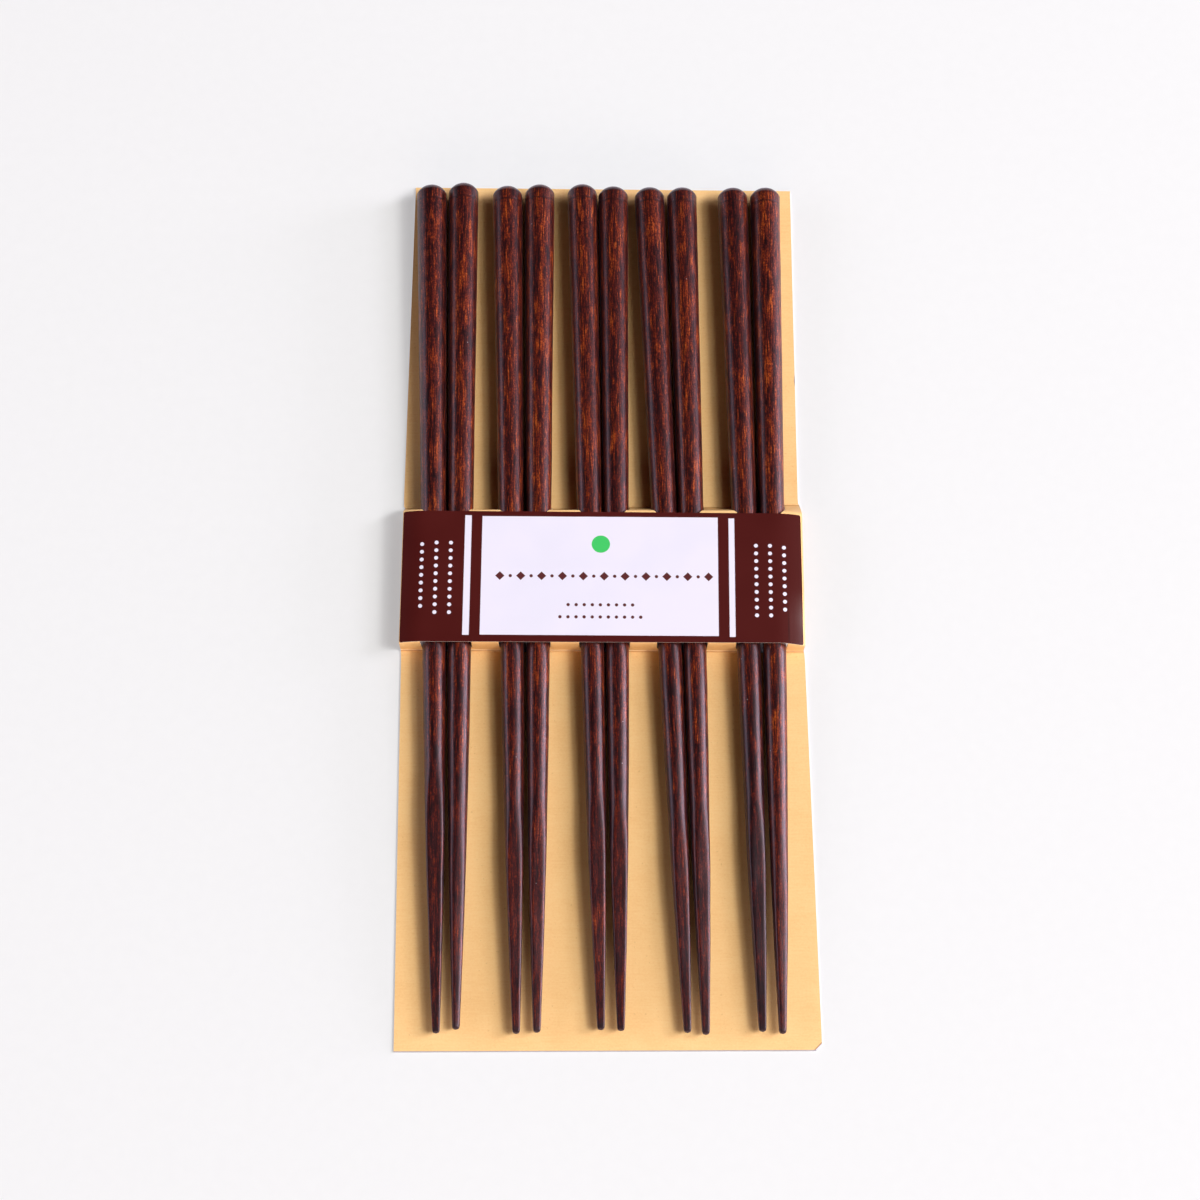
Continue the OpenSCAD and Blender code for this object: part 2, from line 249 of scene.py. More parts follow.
def stained_hardwood():
    """Turned hardwood under a dark red-brown stain and a thin satin lacquer. The stain sinks
    unevenly, so the grain shows as orange-brown streaks between near-black ones."""
    constants = {"IOR": 1.5, "Specular Tint": linear("FFE6F4"), "Sheen Weight": 0.18,
                 "Sheen Roughness": 0.3, "Sheen Tint": linear("DCCEFF")}
    material, tree, skin = new_material("stained_hardwood_satin_lacquer", constants)
    place = add(tree, "ShaderNodeAttribute", out=1, attribute_name="grain_place")
    from_head = add(tree, "ShaderNodeAttribute", out=2, attribute_name="from_head")
    stain = add(tree, "ShaderNodeAttribute", out=2, attribute_name="stain")

    def grain(across, along, detail, rough, twist=0.0):
        inputs = {"Vector": stretched(tree, place, across, along), "Scale": 1.0, "Detail": detail,
                  "Roughness": rough, "Distortion": twist}
        return add(tree, "ShaderNodeTexNoise", inputs)

    streak = grain(0.36, 8.0, 3.0, 0.6, 0.15)
    blot = grain(1.1, 4.0, 3.0, 0.65, 0.25)
    patch = grain(2.2, 10.0, 2.0, 0.5, 0.2)
    fibre = grain(0.2, 3.2, 2.0, 0.6)
    mottle = grain(0.28, 0.5, 2.0, 0.6)
    total = None
    for value, weight in [(streak, 0.95), (blot, 0.55), (patch, 0.55), (fibre, 1.0), (mottle, 0.95)]:
        centred = add(tree, "ShaderNodeMath", [value, 0.5], operation="SUBTRACT")
        total = add(tree, "ShaderNodeMath", [centred, weight, total if total else 0.0],
                    operation="MULTIPLY_ADD")
    # The planed tail is more even, and duller from use
    even = add(tree, "ShaderNodeMapRange", [from_head, 150.0, 180.0, 1.0, 0.72])
    total = add(tree, "ShaderNodeMath", [total, even, 0.47], operation="MULTIPLY_ADD")
    warm = add(tree, "ShaderNodeMath", [stain, 0.5], operation="SUBTRACT")
    tone = add(tree, "ShaderNodeMath", [warm, 0.5, total], operation="MULTIPLY_ADD")
    colour = add(tree, "ShaderNodeValToRGB", [tone], stops=[
        (0.2, "150709"), (0.36, "2E0E10"), (0.48, "491712"), (0.6, "652211"), (0.72, "8C3813"),
        (0.88, "B25A22")])
    # The domed end drinks more stain, and a fine dark line marks the turned ring
    dome = add(tree, "ShaderNodeMapRange", [from_head, 0.8, 5.0, 0.6, 0.0],
               interpolation_type="SMOOTHSTEP")
    colour = add(tree, "ShaderNodeMix", {0: dome, 6: colour, 7: linear("240E10")}, out=2,
                 data_type="RGBA")
    ring_off = apart(tree, from_head, RING_AT)
    ring = add(tree, "ShaderNodeMapRange", [ring_off, 0.1, RING_HALF_W, 0.75, 0.0],
               interpolation_type="SMOOTHSTEP")
    colour = add(tree, "ShaderNodeMix", {0: ring, 6: colour, 7: linear("2A0C0A")}, out=2,
                 data_type="RGBA")
    # Open pores hold dark stain in short dashes
    pores = grain(0.19, 6.5, 1.0, 0.5)
    pore = add(tree, "ShaderNodeMapRange", [pores, 0.58, 0.64, 0.0, 0.9])
    pore = add(tree, "ShaderNodeMath", [pore, even], operation="MULTIPLY")
    colour = add(tree, "ShaderNodeMix", {0: pore, 6: colour, 7: linear("160607")}, out=2,
                 data_type="RGBA")
    # The last millimetre or two of the tip is darker
    to_tip = add(tree, "ShaderNodeAttribute", out=2, attribute_name="to_tip")
    end = add(tree, "ShaderNodeMapRange", [to_tip, 0.9, 1.9, 0.85, 0.0])
    colour = add(tree, "ShaderNodeMix", {0: end, 6: colour, 7: linear("1C0D10")}, out=2,
                 data_type="RGBA")
    # A few grains of pale dust caught in the lacquer
    dust = add(tree, "ShaderNodeTexVoronoi", {"Vector": place, "Scale": 1 / 5.0})
    dust = add(tree, "ShaderNodeMapRange", [dust, 0.022, 0.03, 0.8, 0.0])
    colour = add(tree, "ShaderNodeMix", {0: dust, 6: colour, 7: linear("A9A3A8")}, out=2,
                 data_type="RGBA")
    tree.links.new(colour, skin.inputs["Base Color"])
    gloss = add(tree, "ShaderNodeMapRange", [mottle, 0.3, 0.7, 0.28, 0.36])
    dull = add(tree, "ShaderNodeMapRange", [from_head, 150.0, 185.0, 0.0, 0.07])
    gloss = add(tree, "ShaderNodeMath", [gloss, dull], operation="ADD")
    tree.links.new(gloss, skin.inputs["Roughness"])
    relief = add(tree, "ShaderNodeMath", [fibre, 0.6, mottle], operation="MULTIPLY_ADD")
    relief = add(tree, "ShaderNodeMath", [pore, -0.6, relief], operation="MULTIPLY_ADD")
    bump = add(tree, "ShaderNodeBump", {"Strength": 0.25, "Distance": 0.00005, "Height": relief})
    tree.links.new(bump, skin.inputs["Normal"])
    return material


def kraft_board():
    """Clay-coated folding board printed in a kraft tan: smooth and nearly matte, with faint
    fibres and flecks under the coat."""
    constants = {"Roughness": 0.52, "IOR": 1.46}
    material, tree, skin = new_material("kraft_coated_folding_board", constants)
    place = add(tree, "ShaderNodeTexCoord", out=3)
    blank = add(tree, "ShaderNodeAttribute", out=1, attribute_name="blank")

    def from_edge(first, second):
        """Distance on the blank from the straight edge between two of its corners."""
        low, high = Vector((first[0], to_run(first[1]))), Vector((second[0], to_run(second[1])))
        inward = Vector((low.y - high.y, high.x - low.x, 0.0)).normalized()
        if inward.xy.dot(low) > 0:
            inward.negate()
        share = add(tree, "ShaderNodeVectorMath", [blank, inward], out=1, operation="DOT_PRODUCT")
        return add(tree, "ShaderNodeMath", [share, inward.xy.dot(low)], operation="SUBTRACT")

    fine = add(tree, "ShaderNodeTexNoise", {"Vector": place, "Scale": 1 / (0.5 * MM), "Detail": 3.0})
    cloud = add(tree, "ShaderNodeTexNoise", {"Vector": place, "Scale": 1 / (9 * MM), "Detail": 2.0})
    per_fibre = (1 / (3.5 * MM), 1 / (0.3 * MM), 1 / (0.3 * MM))
    along = add(tree, "ShaderNodeVectorMath", [place, per_fibre], operation="MULTIPLY")
    fibre = add(tree, "ShaderNodeTexNoise", {"Vector": along, "Scale": 1.0, "Detail": 2.0})
    cloud = add(tree, "ShaderNodeMath", [cloud, 0.35, 0.25], operation="MULTIPLY_ADD")
    shade = add(tree, "ShaderNodeMath", [fine, 0.5, cloud], operation="MULTIPLY_ADD")
    shade = add(tree, "ShaderNodeMath", [fibre, 0.35, shade], operation="MULTIPLY_ADD")
    colour = add(tree, "ShaderNodeValToRGB", [shade], stops=[
        (0.7, "F9C887"), (0.85, "FDCF8E"), (1.0, "FFD494")])
    flecks = add(tree, "ShaderNodeTexNoise", {"Vector": place, "Scale": 1 / (0.7 * MM), "Detail": 1.0})
    fleck = add(tree, "ShaderNodeMapRange", [flecks, 0.73, 0.78, 0.0, 0.3])
    colour = add(tree, "ShaderNodeMix", {0: fleck, 6: colour, 7: linear("C9975A")}, out=2,
                 data_type="RGBA")
    # Creases beside the panels: brown lines of painted shade, and a pale painted highlight on the
    # crushed bead
    run = add(tree, "ShaderNodeSeparateXYZ", [blank], out=1)
    for centre, wide, strength, code in CREASE_SHADE_AND_HIGHLIGHT:
        off = apart(tree, run, centre)
        mark = add(tree, "ShaderNodeMapRange", [off, wide * 0.4, wide, strength, 0.0],
                   interpolation_type="SMOOTHSTEP")
        colour = add(tree, "ShaderNodeMix", {0: mark, 6: colour, 7: linear(code)}, out=2,
                     data_type="RGBA")
    # One corner is knocked blunt, browned beside the bare pulp, with a grey painted shadow at its very
    # edge;
    # the near edge has a grey line, partly cut edge and partly painted shadow, and the right edge a
    # brown nick
    cut = from_edge(TIP_PANEL[1], TIP_PANEL[2])
    near = from_edge(TIP_PANEL[2], TIP_PANEL[3])
    side = from_edge(HEAD_PANEL[2], HEAD_PANEL[3])
    nick = add(tree, "ShaderNodeMath", [apart(tree, run, to_run(NICK_Y)), 0.12, side],
               operation="MULTIPLY_ADD")
    # Each mark is full up to the first distance and ends at the second; the two grey ones are painted
    # shadow
    for value, full, gone, strength, code in [
            (nick, 0.14, 0.3, 0.9, "8A5236"), (cut, 0.28, 0.5, 0.85, "8A4A2A"),
            (cut, 0.16, 0.24, 1.0, "F0EEF0"), (cut, 0.02, 0.08, 0.9, "A5A2AE"),
            (near, 0.16, 0.24, 0.9, "A2A2B2")]:
        mark = add(tree, "ShaderNodeMapRange", [value, full, gone, strength, 0.0])
        colour = add(tree, "ShaderNodeMix", {0: mark, 6: colour, 7: linear(code)}, out=2,
                     data_type="RGBA")
    tree.links.new(colour, skin.inputs["Base Color"])
    bump = add(tree, "ShaderNodeBump", {"Strength": 0.25, "Distance": 0.00003, "Height": fine})
    tree.links.new(bump, skin.inputs["Normal"])
    return material


def board_core():
    """The board's cut edge: greyish white pulp, matte."""
    material, tree, skin = new_material("white_pulp_core", {"Roughness": 0.85, "IOR": 1.4})
    place = add(tree, "ShaderNodeTexCoord", out=3)
    pulp = add(tree, "ShaderNodeTexNoise", {"Vector": place, "Scale": 1 / (0.6 * MM), "Detail": 3.0})
    colour = add(tree, "ShaderNodeValToRGB", [pulp], stops=[(0.35, "BEBCC4"), (0.6, "CCCAD2")])
    tree.links.new(colour, skin.inputs["Base Color"])
    return material


def label_core():
    """The cut edge and back of the label's white paper."""
    material, tree, skin = new_material("white_label_paper", {"Roughness": 0.7, "IOR": 1.45})
    place = add(tree, "ShaderNodeTexCoord", out=3)
    pulp = add(tree, "ShaderNodeTexNoise", {"Vector": place, "Scale": 1 / (0.4 * MM), "Detail": 2.0})
    colour = add(tree, "ShaderNodeValToRGB", [pulp], stops=[(0.3, "E8DFD6"), (0.7, "F4EFE8")])
    tree.links.new(colour, skin.inputs["Base Color"])
    return material


# Fields of the print, in millimetres on the label: low corner and high corner
PANEL = ((-30.67, -14.4), (28.4, 17.05))
STRIPES = [((-35.0, -14.5), (-33.35, 17.25)), ((31.1, -14.6), (32.55, 16.85))]
PRINT_TURN = math.radians(-0.4)
# Columns of dots at the two ends: place across, lowest dot and count
DOT_COLUMNS = [(-45.6, -7.0, 9), (-42.0, -8.6, 10), (-38.4, -8.6, 10),
               (37.9, -8.9, 10), (41.4, -8.9, 10), (44.9, -7.3, 9)]
DOT_STEP = 2.05
DOT_R = 0.5
# The band of lozenges on the panel, the two lines of small dots under it, and the disc above it
BAND_Y = 1.15
BAND_STEP = 5.2
SMALL_DOT_R = 0.42
SMALL_DOT_STEP = 2.0
DISC = (-0.9, 9.7)
DISC_R = 2.3
# Middle of the short crack by the near right corner
CRACK = (45.75, -12.5)


def printed_paper():
    """Glossy coated paper, printed with a dark brown ground, a white panel and two white
    stripes. Plain dots and lozenges fill the places of the panel and of the two ends."""
    constants = {"Roughness": 0.3, "IOR": 1.45}
    material, tree, skin = new_material("gloss_coated_label_print", constants)
    place = add(tree, "ShaderNodeTexCoord", out=3)
    turned = {"Vector": place, "Rotation": (0, 0, -PRINT_TURN), "Scale": (1 / MM, 1 / MM, 1 / MM)}
    spread = add(tree, "ShaderNodeMapping", turned)
    across = add(tree, "ShaderNodeSeparateXYZ", [spread], out=0)
    up = across.node.outputs[1]
    soft = 0.04

    def inside(value, low, high):
        """1 between two values, with soft ends."""
        off = apart(tree, value, (low + high) / 2)
        half = (high - low) / 2
        return add(tree, "ShaderNodeMapRange", [off, half - soft, half + soft, 1.0, 0.0])

    def field(low, high):
        """A plain rectangle between two corners."""
        sides = inside(across, low[0], high[0])
        return add(tree, "ShaderNodeMath", [sides, inside(up, low[1], high[1])], operation="MULTIPLY")

    def row(run, rise, start, step, count, line, size, lozenge=False):
        """Dots or lozenges of a size in a row along run, count of them from start."""
        reach = add(tree, "ShaderNodeMath", [run, start - step / 2], operation="SUBTRACT")
        cell = add(tree, "ShaderNodeMath", [reach, step], operation="FLOORED_MODULO")
        cell = add(tree, "ShaderNodeMath", [cell, step / 2], operation="SUBTRACT")
        off = add(tree, "ShaderNodeMath", [rise, line], operation="SUBTRACT")
        if lozenge:
            cell = add(tree, "ShaderNodeMath", [cell], operation="ABSOLUTE")
            off = add(tree, "ShaderNodeMath", [off], operation="ABSOLUTE")
            far = add(tree, "ShaderNodeMath", [cell, off], operation="ADD")
        else:
            spot = add(tree, "ShaderNodeCombineXYZ", [cell, off])
            far = add(tree, "ShaderNodeVectorMath", [spot], out=1, operation="LENGTH")
        mark = add(tree, "ShaderNodeMapRange", [far, size - soft, size + soft, 1.0, 0.0])
        within = inside(run, start - step / 2, start + step * (count - 0.5))
        return add(tree, "ShaderNodeMath", [mark, within], operation="MULTIPLY")

    def any_of(masks):
        joined = masks[0]
        for mask in masks[1:]:
            joined = add(tree, "ShaderNodeMath", [joined, mask], operation="MAXIMUM")
        return joined

    cloud = add(tree, "ShaderNodeTexNoise", {"Vector": place, "Scale": 1 / (14 * MM), "Detail": 1.0})
    paper = add(tree, "ShaderNodeValToRGB", [cloud], stops=[(0.4, "E6E5F6"), (0.6, "E9E7F8")])
    ground = add(tree, "ShaderNodeValToRGB", [cloud], stops=[(0.35, "481311"), (0.65, "4C1614")])
    whites = [field(*PANEL)] + [field(*stripe) for stripe in STRIPES]
    for line, start, count in DOT_COLUMNS:
        whites.append(row(up, across, start, DOT_STEP, count, line, DOT_R))
    colour = add(tree, "ShaderNodeMix", {0: any_of(whites), 6: ground, 7: paper}, out=2,
                 data_type="RGBA")
    inks = [row(across, up, -26.0, BAND_STEP, 11, BAND_Y, 1.15, lozenge=True),
            row(across, up, -23.4, BAND_STEP, 10, BAND_Y, SMALL_DOT_R),
            row(across, up, -8.9, SMALL_DOT_STEP, 9, -6.4, SMALL_DOT_R),
            row(across, up, -10.9, SMALL_DOT_STEP, 11, -9.6, SMALL_DOT_R)]
    colour = add(tree, "ShaderNodeMix", {0: any_of(inks), 6: colour, 7: linear("5A2A2B")}, out=2,
                 data_type="RGBA")
    disc = row(across, up, DISC[0], 20.0, 1, DISC[1], DISC_R)
    colour = add(tree, "ShaderNodeMix", {0: disc, 6: colour, 7: linear("45C968")}, out=2,
                 data_type="RGBA")
    # The paper has cracked along a short crease by its near right corner
    beside, along = apart(tree, across, CRACK[0]), apart(tree, up, CRACK[1])
    crack_off = add(tree, "ShaderNodeMath", [along, 0.03, beside], operation="MULTIPLY_ADD")
    crack = add(tree, "ShaderNodeMapRange", [crack_off, 0.14, 0.26, 0.85, 0.0])
    colour = add(tree, "ShaderNodeMix", {0: crack, 6: colour, 7: linear("360C0C")}, out=2,
                 data_type="RGBA")
    tree.links.new(colour, skin.inputs["Base Color"])
    return material


def sight(tree):
    """1 for a ray from the camera, straight or by way of a glossy or clear surface, and else 0."""
    rays = add(tree, "ShaderNodeLightPath").node.outputs
    seen = add(tree, "ShaderNodeMath", [rays["Is Camera Ray"], rays["Is Glossy Ray"]],
               operation="MAXIMUM")
    return add(tree, "ShaderNodeMath", [seen, rays["Is Transmission Ray"]], operation="MAXIMUM")


# The tunnel's floor on the table, whose last few hundredths fade
TUNNEL_HALF_X = 49.0
TUNNEL_HALF_Y = 20.5
TUNNEL_MIDDLE_Y = 3.0


def table_top():
    """A plain matte white table. A share of its face shines for the camera and in reflections
    alone, which keeps the background even and the shadows on it light."""
    material, tree, skin = new_material("matte_white_table", {"Roughness": 0.75, "IOR": 1.4})
    place = add(tree, "ShaderNodeTexCoord", out=3)
    grain = add(tree, "ShaderNodeTexNoise", {"Vector": place, "Scale": 1 / (3 * MM), "Detail": 3.0})
    colour = add(tree, "ShaderNodeValToRGB", [grain], stops=[(0.3, "E9EBEE"), (0.7, "EBEDF0")])
    tree.links.new(colour, skin.inputs["Base Color"])
    share = add(tree, "ShaderNodeMath", [sight(tree), 0.4], operation="MULTIPLY")
    # None of it in the tunnel under the bridge, where hardly any light falls
    per_half = (1 / (TUNNEL_HALF_X * MM), 1 / (TUNNEL_HALF_Y * MM), 0.0)
    spot = add(tree, "ShaderNodeVectorMath", [place, per_half], operation="MULTIPLY")
    middle = (0.0, -TUNNEL_MIDDLE_Y / TUNNEL_HALF_Y, 0.0)
    spot = add(tree, "ShaderNodeVectorMath", [spot, middle], operation="ADD")
    spot = add(tree, "ShaderNodeVectorMath", [spot], operation="ABSOLUTE")
    wide = add(tree, "ShaderNodeSeparateXYZ", [spot], out=0)
    reach = add(tree, "ShaderNodeMath", [wide, wide.node.outputs[1]], operation="MAXIMUM")
    open_floor = add(tree, "ShaderNodeMapRange", [reach, 0.96, 0.99, 0.0, 1.0])
    share = add(tree, "ShaderNodeMath", [share, open_floor], operation="MULTIPLY")
    shine = add(tree, "ShaderNodeEmission", [linear("F8F8F8"), 1.0])
    face = add(tree, "ShaderNodeMixShader", [share, skin.outputs[0], shine])
    end = next(n for n in tree.nodes if n.type == "OUTPUT_MATERIAL")
    tree.links.new(face, end.inputs[0])
    return material


# Sticks


def stick_tree(material):
    """Geometry tree of one turned stick. Its head's top is at the origin and it runs along -Y."""
    tree = bpy.data.node_groups.new("turned_stick", "GeometryNodeTree")
    names = ["Length", "Head radius", "Dome height", "Knee at", "Taper", "Quickening", "Tip radius",
             "Tip round", "Square from", "Square power", "Flat lean", "Stain", "Tail stain", "Seed"]
    for name in names:
        tree.interface.new_socket(name, in_out="INPUT", socket_type="NodeSocketFloat")
    tree.interface.new_socket("Stick", in_out="OUTPUT", socket_type="NodeSocketGeometry")
    given = tree.nodes.new("NodeGroupInput").outputs

    grid = add(tree, "GeometryNodeMeshGrid", [1.0, 1.0, 250, 81])
    run = add(tree, "ShaderNodeSeparateXYZ", [add(tree, "GeometryNodeInputPosition")])
    turn = run.node.outputs[1]

    # Distance from the head, with close stations on the dome, the ring and the tip
    middle = add(tree, "ShaderNodeMath", [given["Length"], HEAD_ROWS + TIP_ROWS],
                 operation="SUBTRACT")
    head_part = add(tree, "ShaderNodeMapRange", [run, -0.5, -0.25, 0.0, HEAD_ROWS])
    middle_part = add(tree, "ShaderNodeMapRange", [run, -0.25, 0.4, 0.0, middle])
    tip_part = add(tree, "ShaderNodeMapRange", [run, 0.4, 0.5, 0.0, TIP_ROWS])
    s = add(tree, "ShaderNodeMath", [head_part, middle_part], operation="ADD")
    s = add(tree, "ShaderNodeMath", [s, tip_part], operation="ADD")

    # Turned body: a straight taper that quickens past the knee
    past_dome = add(tree, "ShaderNodeMath", [s, given["Dome height"]], operation="SUBTRACT")
    tapered = add(tree, "ShaderNodeMath", [past_dome, given["Taper"]], operation="MULTIPLY")
    body = add(tree, "ShaderNodeMath", [given["Head radius"], tapered], operation="SUBTRACT")
    past_knee = add(tree, "ShaderNodeMath", [s, given["Knee at"]], operation="SUBTRACT")
    past_knee = add(tree, "ShaderNodeMath", [past_knee, 0.0], operation="MAXIMUM")
    square = add(tree, "ShaderNodeMath", [past_knee, past_knee], operation="MULTIPLY")
    quick = add(tree, "ShaderNodeMath", [square, given["Quickening"]], operation="MULTIPLY")
    body = add(tree, "ShaderNodeMath", [body, quick], operation="SUBTRACT")

    # Ring: a fine turned groove
    groove = add(tree, "ShaderNodeMapRange", [apart(tree, s, RING_AT), 0.0, RING_HALF_W,
                                              RING_DEPTH, 0.0])
    body = add(tree, "ShaderNodeMath", [body, groove], operation="SUBTRACT")

    def ball_cap(reach, wide, high):
        """Radius of a ball cap at a distance from its top, for its full width and height."""
        wide2 = add(tree, "ShaderNodeMath", [wide, wide], operation="MULTIPLY")
        high2 = add(tree, "ShaderNodeMath", [high, high], operation="MULTIPLY")
        total = add(tree, "ShaderNodeMath", [wide2, high2], operation="ADD")
        twice = add(tree, "ShaderNodeMath", [high, 2.0], operation="MULTIPLY")
        ball = add(tree, "ShaderNodeMath", [total, twice], operation="DIVIDE")
        off = add(tree, "ShaderNodeMath", [ball, reach], operation="SUBTRACT")
        off = add(tree, "ShaderNodeMath", [off, 0.0], operation="MAXIMUM")
        off2 = add(tree, "ShaderNodeMath", [off, off], operation="MULTIPLY")
        ball2 = add(tree, "ShaderNodeMath", [ball, ball], operation="MULTIPLY")
        left = add(tree, "ShaderNodeMath", [ball2, off2], operation="SUBTRACT")
        left = add(tree, "ShaderNodeMath", [left, 0.0], operation="MAXIMUM")
        cap = add(tree, "ShaderNodeMath", [left], operation="SQRT")
        beyond = add(tree, "ShaderNodeMath", [reach, high], operation="SUBTRACT")
        beyond = add(tree, "ShaderNodeMath", [beyond, 0.0], operation="MAXIMUM")
        return add(tree, "ShaderNodeMath", [beyond, 4.0, cap], operation="MULTIPLY_ADD")

    dome = ball_cap(s, given["Head radius"], given["Dome height"])
    to_tip = add(tree, "ShaderNodeMath", [given["Length"], s], operation="SUBTRACT")
    point = ball_cap(to_tip, given["Tip radius"], given["Tip round"])
    radius = add(tree, "ShaderNodeMath", [body, dome, SHOULDER], operation="SMOOTH_MIN")
    radius = add(tree, "ShaderNodeMath", [radius, point, 0.25], operation="SMOOTH_MIN")
    radius = add(tree, "ShaderNodeMath", [radius, 0.0], operation="MAXIMUM")

    # Tail planed square by hand, with a flat above and below that wander a little
    angle = add(tree, "ShaderNodeMath", [turn, 2 * math.pi], operation="MULTIPLY")
    seat = add(tree, "ShaderNodeCombineXYZ", [given["Seed"], 0.0, s])
    wander = add(tree, "ShaderNodeTexNoise", {"Vector": seat, "Scale": 0.06, "Detail": 2.0})
    wander = add(tree, "ShaderNodeMapRange", [wander, 0.3, 0.7, -0.07, 0.07])
    facing = add(tree, "ShaderNodeMath", [angle, given["Flat lean"]], operation="ADD")
    facing = add(tree, "ShaderNodeMath", [facing, wander], operation="ADD")
    planed = add(tree, "ShaderNodeMath", [s, given["Square from"]], operation="SUBTRACT")
    # A power of 2 is round, and a high one is square with soft corners
    power = add(tree, "ShaderNodeMapRange", [planed, 0.0, SQUARE_OVER, 2.0, given["Square power"]],
                interpolation_type="SMOOTHSTEP")
    total = None
    for wave in ("COSINE", "SINE"):
        side = add(tree, "ShaderNodeMath", [facing], operation=wave)
        side = add(tree, "ShaderNodeMath", [side], operation="ABSOLUTE")
        side = add(tree, "ShaderNodeMath", [side, power], operation="POWER")
        total = side if total is None else add(tree, "ShaderNodeMath", [total, side], operation="ADD")
    root = add(tree, "ShaderNodeMath", [-1.0, power], operation="DIVIDE")
    swell = add(tree, "ShaderNodeMath", [total, root], operation="POWER")
    uneven = add(tree, "ShaderNodeTexNoise", {"Vector": seat, "Scale": 0.11, "Detail": 1.0})
    uneven = add(tree, "ShaderNodeMapRange", [uneven, 0.3, 0.7, -0.01, 0.01])
    swell = add(tree, "ShaderNodeMath", [swell, uneven], operation="ADD")
    radius = add(tree, "ShaderNodeMath", [radius, swell], operation="MULTIPLY")

    x = add(tree, "ShaderNodeMath", [angle], operation="COSINE")
    x = add(tree, "ShaderNodeMath", [x, radius], operation="MULTIPLY")
    z = add(tree, "ShaderNodeMath", [angle], operation="SINE")
    z = add(tree, "ShaderNodeMath", [z, radius], operation="MULTIPLY")
    back = add(tree, "ShaderNodeMath", [s, -1.0], operation="MULTIPLY")
    point_mm = add(tree, "ShaderNodeCombineXYZ", [x, back, z])
    point_m = add(tree, "ShaderNodeVectorMath", {0: point_mm, 3: MM}, operation="SCALE")
    shift = add(tree, "ShaderNodeMath", [given["Seed"], 61.7, s], operation="MULTIPLY_ADD")
    grain = add(tree, "ShaderNodeCombineXYZ", [x, z, shift])

    stained = add(tree, "ShaderNodeMapRange", [s, 105.0, 185.0, given["Stain"], given["Tail stain"]],
                  interpolation_type="SMOOTHSTEP")
    mesh = grid
    for name, kind, value in (("grain_place", "FLOAT_VECTOR", grain), ("from_head", "FLOAT", s),
                              ("to_tip", "FLOAT", to_tip), ("stain", "FLOAT", stained)):
        mesh = add(tree, "GeometryNodeStoreNamedAttribute", {0: mesh, "Name": name, "Value": value},
                   data_type=kind, domain="POINT")
    mesh = add(tree, "GeometryNodeSetPosition", {0: mesh, "Position": point_m})
    mesh = add(tree, "GeometryNodeMergeByDistance", {0: mesh, "Distance": 0.001 * MM})
    mesh = add(tree, "GeometryNodeFlipFaces", {0: mesh})
    mesh = add(tree, "GeometryNodeSetShadeSmooth", {0: mesh})
    mesh = add(tree, "GeometryNodeRealizeInstances", {0: mesh})
    mesh = add(tree, "GeometryNodeSetMaterial", {0: mesh, "Material": material})
    tree.links.new(mesh, tree.nodes.new("NodeGroupOutput").inputs[0])
    return tree


def axis_of(node):
    """Top of the head and end of the tip of a packed stick, in millimetres."""
    corners = np.array([v.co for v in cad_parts[node].data.vertices]) / MM
    corners = np.unique(corners.round(3), axis=0)
    centre = corners.mean(0)
    along = np.linalg.svd(corners - centre, full_matrices=False)[2][0]
    along = along * np.sign(along[1])
    reach = (corners - centre) @ along
    return Vector(centre + along * reach.max()), Vector(centre + along * reach.min())


axes = [axis_of(node) for node in STICKS]


def plain_mesh(obj):
    """Turns an object's evaluated form into its own plain mesh, with no modifiers left."""
    bpy.context.view_layer.update()
    evaluated = obj.evaluated_get(bpy.context.evaluated_depsgraph_get())
    mesh = bpy.data.meshes.new_from_object(evaluated)
    obj.modifiers.clear()
    obj.data = mesh
    return mesh


def new_object(name, mesh):
    """An object at the origin, linked to the scene."""
    obj = bpy.data.objects.new(name, mesh)
    bpy.context.scene.collection.objects.link(obj)
    return obj


def make_stick(number, node, tree):
    """One stick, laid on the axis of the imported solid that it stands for."""
    head, tip = axes[number]
    along = (head - tip).normalized()
    head = head + along * HEAD_PAST
    length = (head - tip).length
    taper = (HEAD_R - KNEE_R) / (KNEE_AT - DOME_H)
    tail = length - TIP_ROUND - KNEE_AT
    sizes = {"Length": length, "Head radius": HEAD_R, "Dome height": DOME_H, "Knee at": KNEE_AT,
             "Taper": taper, "Quickening": (KNEE_R - taper * tail - TIP_R) / tail ** 2,
             "Tip radius": TIP_R, "Tip round": TIP_ROUND, "Square from": SQUARE_FROM[number],
             "Square power": SQUARE_POWER[number], "Flat lean": math.radians(FLAT_LEAN[number]),
             "Stain": STAIN[number], "Tail stain": TAIL_STAIN[number], "Seed": float(number + 1)}
    stick = new_object("stick_" + node[-2:], bpy.data.meshes.new(node))
    maker = stick.modifiers.new("turned_stick", "NODES")
    maker.node_group = tree
    for item in tree.interface.items_tree:
        if item.in_out == "INPUT":
            maker[item.identifier] = sizes[item.name]
    mesh = plain_mesh(stick)
    up = (Vector((0, 0, 1)) - along * along.z).normalized()
    place = Matrix((along.cross(up), along, up)).transposed().to_4x4()
    place.translation = head * MM
    mesh.transform(place)
    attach(stick, "root")
    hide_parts(node)
    return stick


# Folded sheet


def smooth(value):
    """Eased step from 0 to 1."""
    value = min(max(value, 0.0), 1.0)
    return value * value * (3 - 2 * value)


